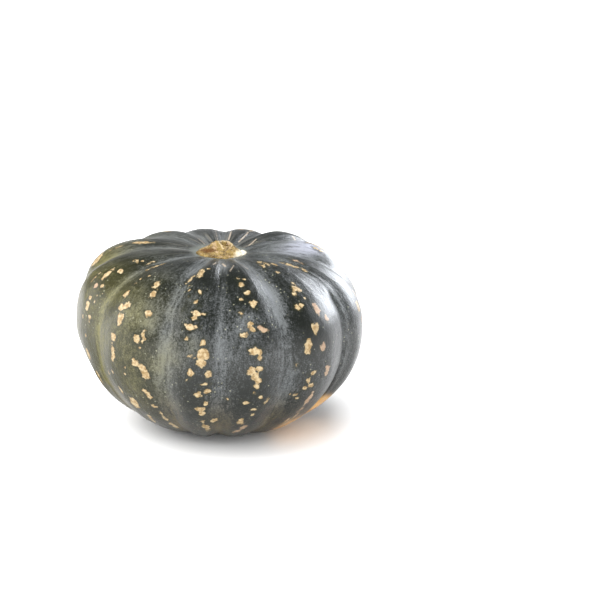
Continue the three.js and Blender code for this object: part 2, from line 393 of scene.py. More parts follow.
flecks = [(rib, *fleck) for rib in FRONT_FLECKS for fleck in FRONT_FLECKS[rib]]
flecks += [(rib, *shuffled_fleck()) for rib, count in SHUFFLED_RIBS.items() for _ in range(count)]
print("flecks in all", len(flecks))

# %% [markdown]
# A material can't see a list, so each point of the skin stores what the material needs as attributes. The
# main one is how deep inside a fleck the point lies, in millimetres, below zero outside. A nearest-point
# search finds the few points that each fleck reaches. The ragged edge comes later, in the material, where
# noise moves the zero line a little.

# %% Stamp the flecks into the skin
EDGE_REACH_MM = 3.5
FAR_OUTSIDE_MM = -EDGE_REACH_MM
STEP_ACROSS = 0.02
STEP_UP_DEGREES = 0.5


def tangents(rib, across, latitude):
    """Unit directions across the rib and up along it."""
    right = skin_point(rib, across + STEP_ACROSS, latitude)
    left = skin_point(rib, across - STEP_ACROSS, latitude)
    above = skin_point(rib, across, latitude + STEP_UP_DEGREES)
    below = skin_point(rib, across, latitude - STEP_UP_DEGREES)
    return (right - left).normalized(), (above - below).normalized()


finder = kdtree.KDTree(len(fruit.data.vertices))
for vertex in fruit.data.vertices:
    finder.insert((vertex.co - shift) / MM, vertex.index)
finder.balance()

depth_in_fleck = [FAR_OUTSIDE_MM] * len(fruit.data.vertices)
rosiness = [0.0] * len(fruit.data.vertices)
for rib, across, latitude, wide, tall, *rest in flecks:
    turn, rosy = (rest + [0, 0])[:2]
    centre = skin_point(rib, across, latitude)
    sideways, upward = tangents(rib, across, latitude)
    turned = math.radians(turn)
    long_way = upward * math.cos(turned) + sideways * math.sin(turned)
    short_way = sideways * math.cos(turned) - upward * math.sin(turned)
    for place, index, _ in finder.find_range(centre, max(wide, tall) / 2 + EDGE_REACH_MM):
        offset = place - centre
        out = math.hypot(offset.dot(short_way) / (wide / 2), offset.dot(long_way) / (tall / 2))
        depth = (1 - out) * min(wide, tall) / 2
        if depth > depth_in_fleck[index]:
            depth_in_fleck[index] = depth
            rosiness[index] = rosy
print("points inside flecks", sum(depth > 0 for depth in depth_in_fleck))

# %% [markdown]
# Near the stub the rind also has a few thin pale scars, which point at the stub. Each one is a line between
# two places, given by its turn round the fruit and its latitude, and every point near the line is marked.

# %% Thin scars on the crown
# turn and latitude of one end, of the other end, and half the width in millimetres
CROWN_SCARS = [
    (186.6, 61, 188.8, 82, 0.4), (174.7, 70, 172.6, 82, 0.7), (161.2, 68, 156.7, 82, 0.6),
    (138, 78.5, 129.2, 83.5, 0.5), (214.5, 79.5, 217.8, 84.5, 0.4), (14.2, 72.5, 8.7, 66.5, 0.5),
    (131, 60, 119, 58, 1.0), (355, 76, 353, 72.5, 0.5), (3, 77, 6, 73, 0.8), (24, 75, 27, 69, 0.4),
]
SCAR_STEPS = 40
SCAR_SEARCH_SHARE = 2.5


def place_at_turn(turn):
    """The rib and the share across it at a turn round the fruit."""
    for rib in range(RIBS):
        start, end = rib_span(rib)
        beyond = (turn - start) % 360
        if beyond < end - start:
            return rib, 2 * beyond / (end - start) - 1


scar_share = [0.0] * len(fruit.data.vertices)
for first_turn, first_latitude, last_turn, last_latitude, half_width in CROWN_SCARS:
    for step in range(SCAR_STEPS + 1):
        part = step / SCAR_STEPS
        rib, across = place_at_turn(first_turn + part * (last_turn - first_turn))
        centre = skin_point(rib, across, first_latitude + part * (last_latitude - first_latitude))
        for _, index, away in finder.find_range(centre, SCAR_SEARCH_SHARE * half_width):
            scar_share[index] = max(scar_share[index], hill(away, half_width))
print("points in scars", sum(share > 0.5 for share in scar_share))

# %% [markdown]
# The other attributes say how deep in a groove a point is, where the wax lies thicker or thinner and where
# patches paint shade and sheen, how near the stub and how high up the point is, where the fruit lay on the
# soil, and where it lies along a made-up grain. The grain runs with the ribs and is unrolled round the fruit,
# so noise that reads it gives streaks that point at the stub and never show a seam.

# %% Store the places for the materials
GROOVE_WAX = [0.68, 0.8, 0.1, 0.3, 0.6, 0.6, 0.7, 0.6, 0.7, 0.9, 0.9, 0.9]
BAND_HALF_WIDTH_LOW_MM = 7
BAND_NARROWS_MM = 3.4
BAND_NARROWS_BETWEEN = (-15, 30)
# rib, share across, latitude, half width in mm, half height in degrees, wax more or less. The pale ones on
# the crown of rib 3 and at the right edge of rib 0 are partly painted sheen, and the dark ones low on ribs 9
# and 10 are painted shade against the light that the floor throws up.
WAX_AND_SHADING_PATCHES = [
    (0, -0.3, 24, 8, 8, 0.42), (10, 0.58, 18, 6, 7, 0.35), (10, 0.95, 66, 5, 6, 0.3),
    (0, -0.9, 73, 5, 4, 0.4), (11, 0.1, 58, 12, 9, -0.15), (1, -0.2, 40, 16, 18, -0.2),
    (1, 0.1, 5, 14, 16, -0.12), (9, 0.3, 55, 16, 10, -0.15), (0, -0.3, 62, 9, 6, -0.15),
    (0, 0.1, 52, 12, 8, -0.12), (11, 0.2, -18, 14, 14, -0.1), (0, 0, -15, 14, 12, -0.12),
    (1, -0.1, 24, 12, 13, -0.3), (10, 0.5, 30, 8, 11, 0.25), (10, 0.1, 24, 12, 12, 0.12),
    (9, 0.5, -12, 14, 16, -0.3), (10, -0.6, -15, 10, 14, -0.3), (11, 0.7, 55, 7, 14, -0.15),
    (3, -0.6, 73, 8, 10, 0.4), (2, 0.4, 72, 6, 8, 0.2), (2, -0.6, 66, 8, 12, 0.35), (1, 0.8, 68, 6, 12, 0.3),
    (0, -0.6, 12, 9, 8, 0.18), (1, -0.05, 13, 12, 11, -0.22), (3, 0.1, 58, 16, 13, 1.2),
    (9, 0.2, 10, 12, 25, -0.12), (9, -0.3, 45, 12, 18, 0.22), (8, 0.5, 45, 14, 18, 0.25),
    (8, -0.3, 62, 12, 14, 0.28), (7, 0.2, 62, 14, 16, 0.28), (0, 0.8, 52, 6, 10, 0.3),
    (0, 0.98, 42, 6, 10, 0.5), (0, 0.86, 30, 6, 9, 0.4), (10, 0.6, 4, 10, 10, -0.12),
    (1, -0.9, 2, 8, 12, -0.14), (0, 0.85, 56, 7, 9, 0.3), (11, 0.9, 2, 8, 10, -0.12),
    (0, -0.3, 40, 10, 7, -0.16),
]
GRAIN_RADIUS_MM = 60
GRAIN_MM_PER_DEGREE = 1.2
FAR_FROM_STUB_MM = 200
PATCH_ANGLE = 67
PATCH_SPREAD = 24
PATCH_LATITUDE = -50
PATCH_TALL = 15


def turn_between(first, second):
    """The shorter way round from one turn to the other, in degrees."""
    return (first - second + 180) % 360 - 180


def wax_and_shading_at(angle, latitude, around):
    """How much the patches add to or take from the wax, painted shade and painted sheen included, at a place
    on a ring of that radius.
    """
    total = 0
    for rib, across, patch_latitude, wide, tall, share in WAX_AND_SHADING_PATCHES:
        sideways = math.radians(turn_between(angle, turn_at(rib, across))) * around
        total += share * hill(sideways, wide) * hill(latitude - patch_latitude, tall)
    return total


def store(piece, name, values, kind="FLOAT"):
    """Stores one value for each point of the mesh as an attribute."""
    attribute = piece.data.attributes.new(name, kind, "POINT")
    attribute.data.foreach_set("vector" if kind == "FLOAT_VECTOR" else "value", values)


groove_band = []
grain = []
from_stub = []
ground_patch = []
wax_and_shading_patch = []
for vertex, (rib, across, latitude) in zip(fruit.data.vertices, places):
    angle = turn_at(rib, across)
    turn = math.radians(angle)
    spot = (vertex.co - shift) / MM
    around = math.hypot(spot.x, spot.y)
    half_width = BAND_HALF_WIDTH_LOW_MM - BAND_NARROWS_MM * smooth_step(latitude, *BAND_NARROWS_BETWEEN)
    in_groove = hill(from_groove(rib, across, around), half_width)
    groove_band.append(GROOVE_WAX[groove_beside(rib, across)] * in_groove)
    wax_and_shading_patch.append(wax_and_shading_at(angle, latitude, around))
    along_rib = latitude * GRAIN_MM_PER_DEGREE
    grain += [GRAIN_RADIUS_MM * math.sin(turn), GRAIN_RADIUS_MM * math.cos(turn), along_rib]
    from_stub.append(around if latitude > 0 else FAR_FROM_STUB_MM)
    beside_patch = hill(turn_between(angle, PATCH_ANGLE), PATCH_SPREAD)
    ground_patch.append(beside_patch * hill(latitude - PATCH_LATITUDE, PATCH_TALL))

store(fruit, "fleck_depth", depth_in_fleck)
store(fruit, "rosy", rosiness)
store(fruit, "scar", scar_share)
store(fruit, "groove_band", groove_band)
store(fruit, "wax_and_shading_patch", wax_and_shading_patch)
store(fruit, "grain", grain, kind="FLOAT_VECTOR")
store(fruit, "from_stub", from_stub)
store(fruit, "ground_patch", ground_patch)
store(fruit, "latitude", [latitude for _, _, latitude in places])
print("attributes", [attribute.name for attribute in fruit.data.attributes if not attribute.is_internal])

# %% [markdown]
# The stub is what is left when the stalk dries and snaps off: a low corky button, wider than it is deep, thin
# at its front edge and lumpy toward the back, with a hollow in the lump. It is made like the fruit, from a
# sphere whose rings are moved onto a profile. The profile starts flat underneath, because the button sits in
# the flat seat of the fruit, and layered noise roughens only the parts that show.

# %% Sizes of the stub
STUB_RADIUS = 15.4
STUB_HEIGHT = 3.3
STUB_WIDER_SHARE = 0.05
STUB_FRONT_SHARE = 0.04
STUB_LOBES = 5
STUB_LOBE_SHARE = 0.04
STUB_LOBE_AT = math.radians(85)
STUB_WAVE_SHARE = 0.012
STUB_LONG_WAVES = 3
STUB_LONG_WAVES_AT = 0.6
STUB_SHORT_WAVES = 8
STUB_NOTCHES = [(math.radians(130), math.radians(24), 0.1), (math.radians(232), math.radians(20), 0.1)]
STUB_RISE_TO_BACK = 0.11
# x, y, spread and rise of each lump, in millimetres from the middle of the stub
STUB_LUMPS = [
    (0, 5.5, 7, 1.7), (-5.8, 6, 3, 1.4), (-2.2, 8, 1.7, -1.2), (-11.5, 5, 5, -1.4),
    (9, -4, 5, 0.9), (-15.5, 2, 5, -1.6), (13, 7, 6.5, -2.4), (-9, 11, 5, -1.5),
]
HOLLOW_AT = (3, 5.2)
HOLLOW_SPREAD = 3.1
HOLLOW_DEPTH = 4.6
HOLLOW_RIM_RADIUS = 4.4
HOLLOW_RIM_WIDTH = 1.4
HOLLOW_RIM_RISE = 1.6
RIDGE_FROM = (-2.6, 7)
RIDGE_TO = (1.6, -2)
RIDGE_WIDTH = 1.1
RIDGE_RISE = 0.7
STUB_PROFILE = [
    (0, 0), (0.5, 0), (0.93, 0), (1, 0.16), (1.01, 0.42), (0.96, 0.68),
    (0.86, 0.88), (0.7, 1), (0.52, 1), (0.34, 0.93), (0.17, 0.88), (0, 0.86),
]
EDGE_RISE_MM = 0.4
EDGE_RISE_AT = 1.1
EDGE_RIPPLE_MM = 0.25
EDGE_RIPPLES = 9
LUMP_SIZE_MM = 2.6
LUMP_DEPTH_MM = 0.7
LUMP_ROUGHNESS = 0.8
LUMP_DOUBLING = 2.0
LUMP_OCTAVES = 4
LUMPS_CLOSER_UPWARD = 3
STUB_SUNK_MM = 0.65
STUB_SITS_AT = (-0.7, -1.5, SEAT_HEIGHT - STUB_SUNK_MM)
print("stub radius in mm", STUB_RADIUS, "lumps", len(STUB_LUMPS))

# %% [markdown]
# One function gives every point of the stub. It works out how far the edge stands from the middle in that
# direction, then how high the top is there: the rise to the back, the lumps, the hollow with its rim, the
# ridge, and last the noise. The place from the middle is kept, because the cork's attributes need it.

# %% The shape of the stub
def on_profile(share):
    """How far out and how high the stub's outline is, from 0 underneath to 1 at the middle of the top."""
    spot = share * (len(STUB_PROFILE) - 1)
    step = min(int(spot), len(STUB_PROFILE) - 2)
    part = spot - step
    first, second = STUB_PROFILE[step], STUB_PROFILE[step + 1]
    return [first[i] * (1 - part) + second[i] * part for i in (0, 1)]


def off_ridge(x, y):
    """How far a place on the stub is from the pale ridge that runs down its front."""
    along = Vector(RIDGE_TO) - Vector(RIDGE_FROM)
    here = Vector((x, y)) - Vector(RIDGE_FROM)
    part = min(max(here.dot(along) / along.length_squared, 0), 1)
    return (here - along * part).length


def stub_point(turn, share):
    """A point of the stub, with its place from the middle and its height share."""
    out, up = on_profile(share)
    wider = -STUB_WIDER_SHARE * math.cos(2 * turn) + STUB_FRONT_SHARE * math.cos(turn)
    lobes = STUB_LOBE_SHARE * math.cos(STUB_LOBES * (turn - STUB_LOBE_AT))
    long_waves = math.cos(STUB_LONG_WAVES * turn + STUB_LONG_WAVES_AT)
    waves = STUB_WAVE_SHARE * (long_waves + math.sin(STUB_SHORT_WAVES * turn))
    notches = sum(share * hill(turn % math.tau - at, wide) for at, wide, share in STUB_NOTCHES)
    radius = STUB_RADIUS * out * (1 + wider + lobes + waves - notches)
    x = radius * math.sin(turn)
    y = -radius * math.cos(turn)
    top = STUB_HEIGHT + STUB_RISE_TO_BACK * y
    edge_rise = EDGE_RISE_MM * math.cos(STUB_LOBES * turn + EDGE_RISE_AT)
    top += out * (edge_rise + EDGE_RIPPLE_MM * math.sin(EDGE_RIPPLES * turn))
    for lump_x, lump_y, spread, rise in STUB_LUMPS:
        top += rise * hill(math.hypot(x - lump_x, y - lump_y), spread)
    from_hollow = math.hypot(x - HOLLOW_AT[0], y - HOLLOW_AT[1])
    top -= HOLLOW_DEPTH * hill(from_hollow, HOLLOW_SPREAD)
    top += HOLLOW_RIM_RISE * hill(from_hollow - HOLLOW_RIM_RADIUS, HOLLOW_RIM_WIDTH)
    top += RIDGE_RISE * hill(off_ridge(x, y), RIDGE_WIDTH)
    noise_place = Vector((x, y, LUMPS_CLOSER_UPWARD * up)) / LUMP_SIZE_MM
    rough = up * LUMP_DEPTH_MM * noise.fractal(noise_place, LUMP_ROUGHNESS, LUMP_DOUBLING, LUMP_OCTAVES)
    base_x, base_y, base_z = STUB_SITS_AT
    return settled(base_x + x, base_y + y, base_z + up * top + rough), x, y, up


print("top of the stub in mm", [round(v, 1) for v in stub_point(0, 1)[0]])

# %% [markdown]
# The rings of the sphere go round the profile. A light smoothing then takes the sharp tips off the noise, as
# years of handling take them off cork. Attributes mark the hollow, its pale rim and the ridge, how high on
# the profile a point is, the brown stain, and the pale tip.

# %% Make the stub
STUB_COLUMNS = 240
STUB_RINGS = 120
SMOOTHING = 0.3
PALE_LINE_HALF_WIDTH_MM = 1.0
STAIN_AT = (-8.5, -3.5)
STAIN_LONGER = 1.6
STAIN_SPREAD_MM = 4.2
TIP_SLANT = 0.25
TIP_BETWEEN_MM = (8.5, 16)

cork = bmesh.new()
bmesh.ops.create_uvsphere(cork, u_segments=STUB_COLUMNS, v_segments=STUB_RINGS, radius=1)
stub_places = []
for vertex in cork.verts:
    turn = math.atan2(vertex.co.x, -vertex.co.y)
    share = 0.5 + math.asin(max(-1, min(1, vertex.co.z))) / math.pi
    vertex.co, *stub_place = stub_point(turn, share)
    stub_places.append(stub_place)
axes_smoothed = {"use_axis_x": True, "use_axis_y": True, "use_axis_z": True}
bmesh.ops.smooth_vert(cork, verts=cork.verts, factor=SMOOTHING, **axes_smoothed)
bmesh.ops.transform(cork, matrix=to_frame, verts=cork.verts)
bmesh.ops.recalc_face_normals(cork, faces=cork.faces)
stub = finished_piece("corky_stub", cork, "root", "stem_stub")

in_hollow = []
pale_rim = []
stain_share = []
tip_share = []
for x, y, _ in stub_places:
    away = math.hypot(x - HOLLOW_AT[0], y - HOLLOW_AT[1])
    in_hollow.append(hill(away, HOLLOW_SPREAD))
    on_rim = hill(away - HOLLOW_RIM_RADIUS, PALE_LINE_HALF_WIDTH_MM)
    pale_rim.append(max(on_rim, hill(off_ridge(x, y), PALE_LINE_HALF_WIDTH_MM)))
    from_stain = math.hypot((x - STAIN_AT[0]) / STAIN_LONGER, y - STAIN_AT[1])
    stain_share.append(hill(from_stain, STAIN_SPREAD_MM))
    tip_share.append(smooth_step(x - TIP_SLANT * y, *TIP_BETWEEN_MM))
store(stub, "in_hollow", in_hollow)
store(stub, "pale_rim", pale_rim)
store(stub, "height_share", [up for _, _, up in stub_places])
store(stub, "stain", stain_share)
store(stub, "pale_tip", tip_share)
print("stub size in mm", [round(v / MM, 1) for v in stub.dimensions])

# %% [markdown]
# Materials are trees of small steps. A few helpers keep them readable. Most add one step or two and give back
# the socket with the result, so a paint reads as a list of layers.

# %% Helpers for materials
def new_material(name):
    material = bpy.data.materials.new(name)
    material.use_nodes = True
    material.node_tree.nodes.clear()
    return material


class Tree:
    """Adds steps to a node tree and joins them."""

    def __init__(self, tree):
        self.tree = tree

    def add(self, kind, inputs=None, **settings):
        step = self.tree.nodes.new(kind)
        for name, value in settings.items():
            setattr(step, name, value)
        for name, value in (inputs or {}).items():
            self.put(step.inputs[name], value)
        return step

    def put(self, socket, value):
        if isinstance(value, bpy.types.NodeSocket):
            self.tree.links.new(value, socket)
        else:
            socket.default_value = value

    def attribute(self, name):
        """The number that each point of the mesh stores under that name."""
        return self.add("ShaderNodeAttribute", attribute_name=name).outputs["Fac"]

    def blend(self, share, first, second):
        """Blends two colours by a share from 0 to 1. The step's slots 6 and 7 are its colours."""
        step = self.add("ShaderNodeMix", data_type="RGBA", blend_type="MIX")
        self.put(step.inputs[0], share)
        self.put(step.inputs[6], first)
        self.put(step.inputs[7], second)
        return step.outputs[2]

    def lay(self, colour, paint, mask, strength):
        """Lays a paint over a colour where the mask is 1, no denser than its strength."""
        return self.blend(self.times(mask, strength), colour, paint)

    def stretch(self, value, low, high, to_low=0.0, to_high=1.0):
        """Maps low to to_low and high to to_high, smoothly, and holds the ends."""
        step = self.add("ShaderNodeMapRange", interpolation_type="SMOOTHSTEP")
        for slot, number in enumerate((value, low, high, to_low, to_high)):
            self.put(step.inputs[slot], number)
        return step.outputs[0]

    def calculate(self, how, first, second, third=0.0):
        step = self.add("ShaderNodeMath", operation=how)
        for slot, number in enumerate((first, second, third)):
            self.put(step.inputs[slot], number)
        return step.outputs[0]

    def times(self, first, second):
        return self.calculate("MULTIPLY", first, second)

    def plus(self, first, second):
        return self.calculate("ADD", first, second)

    def plus_part(self, first, second, part):
        """The first number with a part of the second added to it."""
        return self.calculate("MULTIPLY_ADD", second, part, first)

    def surface(self, inputs):
        """Ends a material in one surface with those settings."""
        shader = self.add("ShaderNodeBsdfPrincipled", inputs)
        self.add("ShaderNodeOutputMaterial", {"Surface": shader.outputs[0]})

    def noise(self, place, scale, detail, rough=0.5):
        inputs = {"Vector": place, "Scale": scale, "Detail": detail, "Roughness": rough}
        return self.add("ShaderNodeTexNoise", inputs).outputs["Fac"]

    def drawn_out(self, place, share):
        """The grain with its way up the rib shortened, so a pattern on it is drawn out along the rib."""
        step = self.add("ShaderNodeVectorMath", {0: place, 1: (1, 1, share)}, operation="MULTIPLY")
        return step.outputs[0]


def srgb(red, green, blue):
    """A colour as seen on a screen, from 0 to 255, turned into the light that a material works in."""
    parts = [value / 255 for value in (red, green, blue)]
    linear = [part / 12.92 if part <= 0.04045 else ((part + 0.055) / 1.055) ** 2.4 for part in parts]
    return (*linear, 1.0)


print("mid grey", [round(v, 3) for v in srgb(128, 128, 128)])

# %% [markdown]
# Colours come first, as a painter sets out a palette. Most are the colours of the surface itself, so they are
# duller and darker than what the picture shows once the studio's light falls on them. The pale sheen grey is
# painted sheen, not a rind colour.

# %% Colours of the rind
DEEP_GREEN = srgb(15, 18, 14)
OLIVE_GREEN = srgb(44, 42, 12)
WAX_GREY = srgb(90, 93, 94)
SUNNY_WAX = srgb(102, 97, 50)
FOOT_BROWN = srgb(86, 74, 42)
# painted sheen: a pale bluish grey that stands in for a reflection
PAINTED_SHEEN_GREY = srgb(180, 183, 198)
FRECKLE = srgb(140, 140, 118)
FLECK_RIM = srgb(27, 29, 16)
DARK_CREAM = srgb(124, 100, 62)
PALE_CREAM = srgb(166, 148, 114)
ROSY_CREAM = srgb(142, 116, 99)
PALE_RAY = srgb(140, 134, 120)
DARK_LINE = srgb(24, 27, 22)
COLLAR_GREY = srgb(104, 108, 102)
SCAR_TAN = srgb(146, 134, 118)
DARK_STRAW = srgb(184, 128, 62)
PALE_STRAW = srgb(218, 178, 114)
print("deep green", [round(v, 4) for v in DEEP_GREEN])

# %% [markdown]
# The rind is dark green, and a thin bloom of wax greys it, thickest in the grooves. The side that lay in the
# sun is more olive, and the foot is browner. How thickly the wax lies is added up from several causes, and
# grains then break it up. Part of it is
# painted light: thinner wax toward the crown and the foot is partly painted shade, and some patches paint
# shade and others sheen.
# Noise on the object's own coordinates gives clouds, and noise on the grain that is drawn out along the ribs
# gives streaks.

# %% Wax over green
BROAD_CLOUDS = 45
WAX_STREAKS = 0.4
COARSE_GRAIN = 0.8
FINE_GRAIN = 1150

rind = new_material("rind")
t = Tree(rind.node_tree)
where = t.add("ShaderNodeTexCoord").outputs["Object"]
axes = t.add("ShaderNodeSeparateXYZ", {0: where})
grain_place = t.add("ShaderNodeAttribute", attribute_name="grain").outputs["Vector"]
latitude = t.attribute("latitude")
patch_wax_and_shading = t.attribute("wax_and_shading_patch")

# how thickly the wax lies: in the grooves, above the foot, and here and there, with painted shade and painted
# sheen mixed in
broad = t.noise(where, BROAD_CLOUDS, detail=4, rough=0.55)
streaks = t.noise(t.drawn_out(grain_place, 0.12), WAX_STREAKS, detail=4, rough=0.6)
in_grooves = t.times(t.attribute("groove_band"), t.stretch(streaks, 0.25, 0.65, to_low=0.25, to_high=1.15))
wax_and_shading = t.plus_part(0.14, in_grooves, 0.62)
# more wax below the crown: partly thicker bloom, partly painted shade that keeps the crown dark under the
# ceiling light
wax_and_shading = t.plus_part(wax_and_shading, t.stretch(latitude, 50, 20), 0.08)
# painted shade: less wax toward the foot keeps it dark against the light that the floor throws up
wax_and_shading = t.plus_part(wax_and_shading, t.stretch(latitude, 5, -40), -0.16)
wax_and_shading = t.plus(wax_and_shading, t.plus_part(-0.45, broad, 0.9))
# the patches: more or less wax, and in places painted shade and painted sheen
wax_and_shading = t.plus(wax_and_shading, patch_wax_and_shading)

# wax lies in grains, so it is never even
coarse_grain = t.noise(t.drawn_out(grain_place, 0.35), COARSE_GRAIN, detail=4, rough=0.7)
fine_grain = t.noise(where, FINE_GRAIN, detail=2, rough=0.6)
grains = t.plus_part(t.times(fine_grain, 0.5), coarse_grain, 0.5)
waxed_with_shading = t.stretch(t.plus(wax_and_shading, t.plus_part(-1.3, grains, 2.6)), -0.05, 1.05)

# the sunny side is at the left, and the crown has less of it
sunny = t.stretch(t.plus_part(axes.outputs["X"], broad, -0.06), -0.03, -0.12)
sunny = t.times(sunny, t.stretch(latitude, 68, 30, to_low=0.25))
green = t.blend(sunny, DEEP_GREEN, OLIVE_GREEN)
grey = t.blend(sunny, WAX_GREY, SUNNY_WAX)
grey = t.lay(grey, FOOT_BROWN, t.stretch(latitude, -12, -42), strength=0.85)
# painted sheen: where the patches run highest, on the crown shoulder of rib 3, a pale bluish grey stands in
# for a reflection of the light
grey = t.lay(grey, PAINTED_SHEEN_GREY, t.stretch(patch_wax_and_shading, 0.45, 1.3), strength=0.85)
colour = t.blend(waxed_with_shading, green, grey)
print("rind steps so far", len(rind.node_tree.nodes))

# %% [markdown]
# Freckles are the small dots between the flecks. A cell pattern gives one dot to a cell, and only some cells
# are chosen, in crowds. The flecks come from the stored depth: noise moves the zero line, which makes their
# edges ragged, and the same depth a little farther out gives the dark rim round each one.

# %% Freckles and flecks
FRECKLE_CELLS = 420
FRECKLE_CROWDS = 60
RAGGED_EDGE = 330
CREAM_MOTTLE = 480

cells = {"Vector": where, "Scale": FRECKLE_CELLS, "Randomness": 1.0}
dots = t.add("ShaderNodeTexVoronoi", cells, feature="F1")
dot_luck = t.add("ShaderNodeSeparateColor", {0: dots.outputs["Color"]})
chosen = t.stretch(dot_luck.outputs[0], 0.72, 0.76)
crowd = t.stretch(t.noise(where, FRECKLE_CROWDS, detail=1), 0.4, 0.6)
dot = t.times(t.stretch(dots.outputs["Distance"], 0.28, 0.14), t.times(chosen, crowd))
colour = t.lay(colour, FRECKLE, dot, strength=0.55)

ragged = t.plus_part(-2.45, t.noise(where, RAGGED_EDGE, detail=3, rough=0.55), 5.0)
fleck_edge = t.plus(t.attribute("fleck_depth"), ragged)
colour = t.lay(colour, FLECK_RIM, t.stretch(fleck_edge, -2.0, -0.3), strength=0.6)
inside = t.stretch(fleck_edge, -0.3, 0.5)
mottle = t.stretch(t.noise(where, CREAM_MOTTLE, detail=3, rough=0.6), 0.35, 0.65)
cream = t.blend(mottle, DARK_CREAM, PALE_CREAM)
cream = t.lay(cream, ROSY_CREAM, t.attribute("rosy"), strength=0.6)
colour = t.blend(inside, colour, cream)
print("rind steps so far", len(rind.node_tree.nodes))

# %% [markdown]
# Round the stub everything points at it: broad pale rays, fine dark lines, a pale collar where the rind meets
# the cork, and the thin scars. The dark lines are where a drawn-out noise crosses its middle value, which is
# a simple way to get thin curved lines out of soft noise.

# %% The crown
RAYS = 0.28
FINE_RAYS = 0.55
SCAR_EDGE = 500

stub_distance = t.attribute("from_stub")
rays = t.noise(t.drawn_out(grain_place, 0.06), RAYS, detail=3, rough=0.55)
at_back = t.stretch(axes.outputs["Y"], -0.012, 0.012, to_low=0.25)
near_stub = t.times(t.stretch(stub_distance, 46, 24), at_back)
colour = t.lay(colour, PALE_RAY, t.times(t.stretch(rays, 0.56, 0.64), near_stub), strength=0.35)
fine_rays = t.noise(t.drawn_out(grain_place, 0.05), FINE_RAYS, detail=3, rough=0.6)
off_middle = t.calculate("ABSOLUTE", t.calculate("SUBTRACT", fine_rays, 0.5), 0)
line = t.times(t.stretch(off_middle, 0.03, 0.0), t.stretch(latitude, 48, 64))
colour = t.lay(colour, DARK_LINE, line, strength=0.7)
collar = t.stretch(t.plus_part(stub_distance, rays, 6), 24, 19)
colour = t.lay(colour, COLLAR_GREY, collar, strength=0.6)
scar = t.plus_part(t.attribute("scar"), t.noise(where, SCAR_EDGE, detail=2), 0.5)
colour = t.lay(colour, SCAR_TAN, t.stretch(scar, 0.55, 1.0), strength=0.85)
print("rind steps so far", len(rind.node_tree.nodes))

# %% [markdown]
# A squash that lies on the soil stays pale orange where no sun reached it. The stored patch fades outward,
# and noise makes its border uneven. The second factor keeps the noise from raising spots far from the patch.

# %% The patch that lay on the soil
PATCH_BORDER = 55
STRAW_CLOUDS = 120

patch = t.attribute("ground_patch")
soil = t.stretch(t.plus_part(patch, t.noise(where, PATCH_BORDER, detail=5, rough=0.65), 0.9), 0.52, 1.02)
soil = t.times(soil, t.stretch(patch, 0.1, 0.35))
straw = t.blend(t.noise(where, STRAW_CLOUDS, detail=4, rough=0.6), DARK_STRAW, PALE_STRAW)
colour = t.lay(colour, straw, soil, strength=0.92)
print("rind steps so far", len(rind.node_tree.nodes))

# %% [markdown]
# Light shows a rind's surface more than its colour does. The relief is far finer than the mesh, so it is a
# bump: long folds on the shoulder, pores drawn out along the ribs, fine grain, and flecks that stand a little
# proud. Waxed rind is duller than bare rind, and the foot, worn and dusty, has less gloss.

# %% The surface of the rind
PORES = 0.6
FOLDS = 0.17
RIND_BUMP_M = 0.001

height = t.times(t.noise(t.drawn_out(grain_place, 0.3), PORES, detail=4, rough=0.6), 0.8)
height = t.plus_part(height, fine_grain, 0.5)
folds = t.noise(t.drawn_out(grain_place, 0.04), FOLDS, detail=2)
height = t.plus_part(height, t.times(folds, t.stretch(latitude, 25, 55)), 2.5)
height = t.plus_part(height, inside, 0.1)
bump = t.add("ShaderNodeBump", {"Height": height, "Strength": 0.32, "Distance": RIND_BUMP_M})
shine = t.stretch(t.plus(waxed_with_shading, inside), 0, 1, to_low=0.3, to_high=0.42)
left_foot = t.times(t.stretch(axes.outputs["X"], -0.03, -0.08), t.stretch(latitude, 15, -8))
gloss = t.plus_part(t.stretch(latitude, -25, 20, to_low=0.22, to_high=0.5), left_foot, -0.22)
t.surface({"Base Color": colour, "Roughness": shine, "Normal": bump.outputs[0], "Specular IOR Level": gloss})
fruit.data.materials.append(rind)
print("rind steps in all", len(rind.node_tree.nodes))

# %% [markdown]
# Cork is dry and chalky. It is ochre, browner in its hollow and in one stain, and a darker brown at its low
# edge, which is painted shade on the low side wall. It is nearly cream on the rim of the hollow, in blotches
# and at its tip. Noise in two sizes breaks up every edge, and the same noise gives the bump, which keeps
# colour and relief together as they are on the real stub.

# %% The cork
DARK_OCHRE = srgb(66, 50, 22)
OCHRE = srgb(122, 102, 56)
CRUMB_CREAM = srgb(176, 156, 120)
LOW_EDGE_SHADE_BROWN = srgb(78, 66, 24)
STAIN_BROWN = srgb(76, 46, 14)
BLOTCH_TAN = srgb(166, 142, 116)
RIM_CREAM = srgb(172, 156, 124)
HOLLOW_BROWN = srgb(92, 64, 20)
TIP_WHITE = srgb(200, 193, 174)
CORK_LUMPS = 300
CORK_CRUMBS = 1300
CORK_BLOTCHES = 190
CORK_BUMP_M = 0.0012

cork_material = new_material("cork")
t = Tree(cork_material.node_tree)
where = t.add("ShaderNodeTexCoord").outputs["Object"]
height_share = t.attribute("height_share")
lumps = t.noise(where, CORK_LUMPS, detail=5, rough=0.6)
crumbs = t.noise(where, CORK_CRUMBS, detail=3, rough=0.65)
colour = t.blend(t.stretch(lumps, 0.36, 0.62), DARK_OCHRE, OCHRE)
colour = t.lay(colour, CRUMB_CREAM, t.stretch(crumbs, 0.5, 0.68), strength=0.5)
